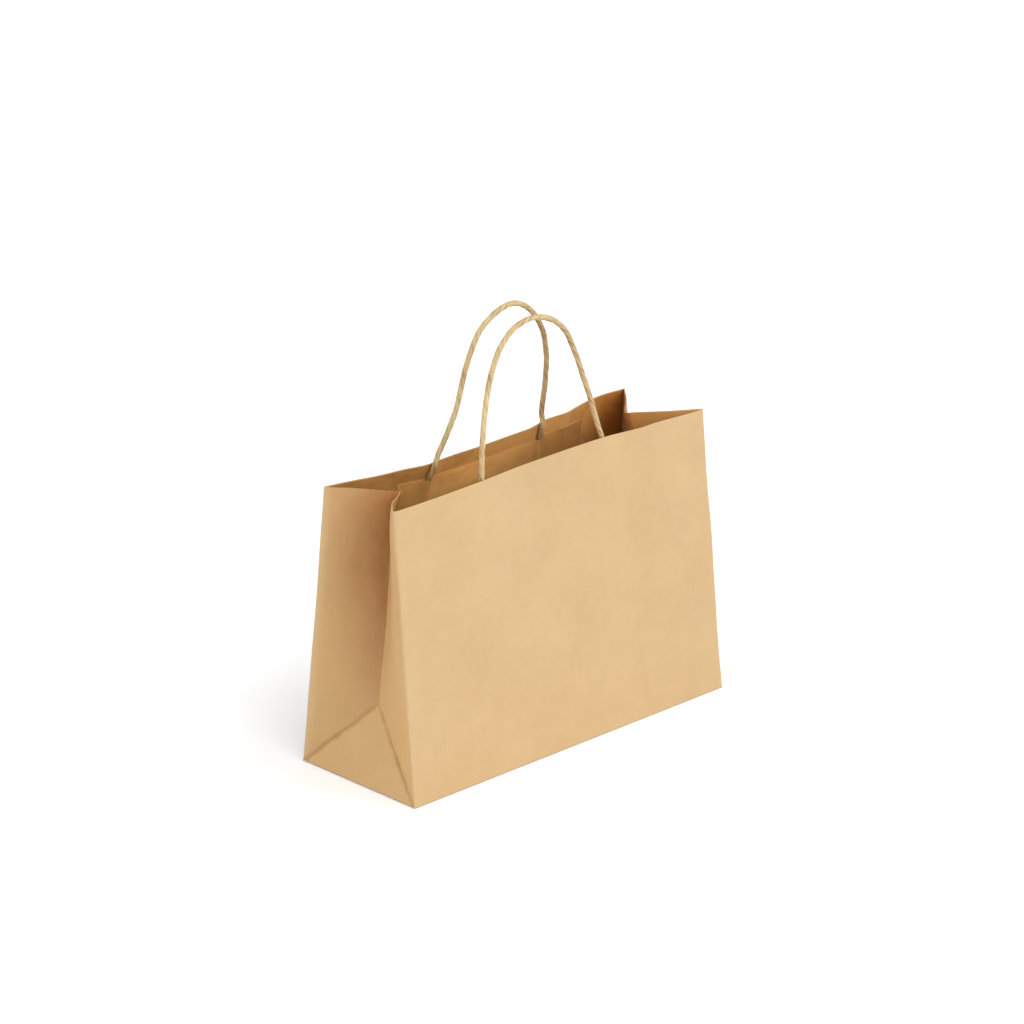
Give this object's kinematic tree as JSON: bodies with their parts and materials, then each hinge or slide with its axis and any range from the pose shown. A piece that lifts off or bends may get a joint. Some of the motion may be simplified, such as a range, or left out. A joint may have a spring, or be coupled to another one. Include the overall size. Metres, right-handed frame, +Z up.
{
  "type": "gift bag",
  "caption": "Landscape kraft paper bag with a glued block bottom, folded-in side gussets and twisted-paper cord handles on both wide sides, for carrying gifts.",
  "frame": {"origin": "centre of the base, on the ground", "axes": "+X along the wide side, +Y from the front panel to the back panel, +Z up towards the handles"},
  "size_m": [0.3198, 0.1201, 0.3274],
  "materials": {
    "kraft_paper": "smooth uncoated kraft with faint ribs",
    "kraft_patch_paper": "uncoated recycled kraft",
    "twisted_paper_cord": "tightly twisted kraft strands"
  },
  "bodies": {
    "base": {"bottom_front_flap": "kraft_paper", "bottom_rear_flap": "kraft_paper", "bottom_end_flap_left": "kraft_paper", "bottom_end_flap_right": "kraft_paper"},
    "front": {"front_panel": "kraft_paper", "front_top_hem": "kraft_paper", "front_handle_patch_base": "kraft_patch_paper", "front_handle_patch_cover": "kraft_patch_paper", "front_cord_end_left": "twisted_paper_cord", "front_cord_end_right": "twisted_paper_cord"},
    "back": {"back_panel": "kraft_paper", "back_top_hem": "kraft_paper", "back_handle_patch_base": "kraft_patch_paper", "back_handle_patch_cover": "kraft_patch_paper", "back_cord_end_left": "twisted_paper_cord", "back_cord_end_right": "twisted_paper_cord", "side_seam_tab": "kraft_paper"},
    "left_foot": {"left_gusset_foot": "kraft_paper"},
    "left_front_lower": {"left_gusset_front_lower": "kraft_paper"},
    "left_front_upper": {"left_gusset_front_upper": "kraft_paper", "left_gusset_front_hem": "kraft_paper"},
    "left_rear_lower": {"left_gusset_rear_lower": "kraft_paper"},
    "left_rear_upper": {"left_gusset_rear_upper": "kraft_paper", "left_gusset_rear_hem": "kraft_paper"},
    "right_foot": {"right_gusset_foot": "kraft_paper"},
    "right_front_lower": {"right_gusset_front_lower": "kraft_paper"},
    "right_front_upper": {"right_gusset_front_upper": "kraft_paper", "right_gusset_front_hem": "kraft_paper"},
    "right_rear_lower": {"right_gusset_rear_lower": "kraft_paper"},
    "right_rear_upper": {"right_gusset_rear_upper": "kraft_paper", "right_gusset_rear_hem": "kraft_paper"},
    "front_handle": {"front_handle_loop": "twisted_paper_cord"},
    "back_handle": {"back_handle_loop": "twisted_paper_cord"}
  },
  "joints": [
    {"name": "front_tilt", "type": "hinge", "parent": "base", "child": "front", "pos_m": [0, -0.06, 0], "axis": [-1, 0, 0], "range_deg": [-1.5, 1.2], "stiffness_Nm_per_rad": 2},
    {"name": "back_tilt", "type": "hinge", "parent": "base", "child": "back", "pos_m": [0, 0.06, 0], "axis": [1, 0, 0], "range_deg": [-1.55, 1.25]},
    {"name": "left_foot_fold", "type": "hinge", "parent": "base", "child": "left_foot", "pos_m": [-0.16, 0, 0], "axis": [0, 1, 0], "range_deg": [-3.82, 3.07]},
    {"name": "left_front_corner_fold", "type": "hinge", "parent": "front", "child": "left_front_lower", "pos_m": [-0.16, -0.06, 0], "axis": [0, 0.1, 0.995], "range_deg": [-3.17, 3.93]},
    {"name": "left_front_flex", "type": "hinge", "parent": "left_front_lower", "child": "left_front_upper", "pos_m": [-0.138, 0, 0.05582], "axis": [-0.1303, -0.225, 0.9656], "range_deg": [-3.5, 4.36]},
    {"name": "left_rear_corner_fold", "type": "hinge", "parent": "back", "child": "left_rear_lower", "pos_m": [-0.16, 0.06, 0], "axis": [0, 0.1, -0.995], "range_deg": [-3.17, 3.93]},
    {"name": "left_rear_flex", "type": "hinge", "parent": "left_rear_lower", "child": "left_rear_upper", "pos_m": [-0.138, 0, 0.05582], "axis": [0.1303, -0.225, -0.9656], "range_deg": [-3.5, 4.36]},
    {"name": "right_foot_fold", "type": "hinge", "parent": "base", "child": "right_foot", "pos_m": [0.16, 0, 0], "axis": [0, -1, 0], "range_deg": [-3.82, 3.07]},
    {"name": "right_front_corner_fold", "type": "hinge", "parent": "front", "child": "right_front_lower", "pos_m": [0.16, -0.06, 0], "axis": [0, -0.1, -0.995], "range_deg": [-3.17, 3.93]},
    {"name": "right_front_flex", "type": "hinge", "parent": "right_front_lower", "child": "right_front_upper", "pos_m": [0.138, 0, 0.05582], "axis": [-0.1303, 0.225, -0.9656], "range_deg": [-3.5, 4.36]},
    {"name": "right_rear_corner_fold", "type": "hinge", "parent": "back", "child": "right_rear_lower", "pos_m": [0.16, 0.06, 0], "axis": [0, -0.1, 0.995], "range_deg": [-3.17, 3.93]},
    {"name": "right_rear_flex", "type": "hinge", "parent": "right_rear_lower", "child": "right_rear_upper", "pos_m": [0.138, 0, 0.05582], "axis": [0.1303, 0.225, 0.9656], "range_deg": [-3.5, 4.36]},
    {"name": "front_handle_swing", "type": "hinge", "parent": "front", "child": "front_handle", "pos_m": [-0.00835, -0.03386, 0.22645], "axis": [-0.9965, -0.0832, 0.0096], "range_deg": [-120, 2], "stiffness_Nm_per_rad": 0.05},
    {"name": "back_handle_swing", "type": "hinge", "parent": "back", "child": "back_handle", "pos_m": [-0.00575, 0.02073, 0.22454], "axis": [0.9949, 0.0991, 0.0173], "range_deg": [-120, 2], "stiffness_Nm_per_rad": 0.05}
  ],
  "couplings": [
    {"joint": "back_tilt", "follows": "front_tilt", "ratio": 1},
    {"joint": "left_foot_fold", "follows": "front_tilt", "ratio": 2.477},
    {"joint": "left_front_corner_fold", "follows": "front_tilt", "ratio": -2.555},
    {"joint": "left_front_flex", "follows": "front_tilt", "ratio": -2.837},
    {"joint": "left_rear_corner_fold", "follows": "front_tilt", "ratio": -2.555},
    {"joint": "left_rear_flex", "follows": "front_tilt", "ratio": -2.837},
    {"joint": "right_foot_fold", "follows": "front_tilt", "ratio": 2.477},
    {"joint": "right_front_corner_fold", "follows": "front_tilt", "ratio": -2.555},
    {"joint": "right_front_flex", "follows": "front_tilt", "ratio": -2.837},
    {"joint": "right_rear_corner_fold", "follows": "front_tilt", "ratio": -2.555},
    {"joint": "right_rear_flex", "follows": "front_tilt", "ratio": -2.837}
  ]
}
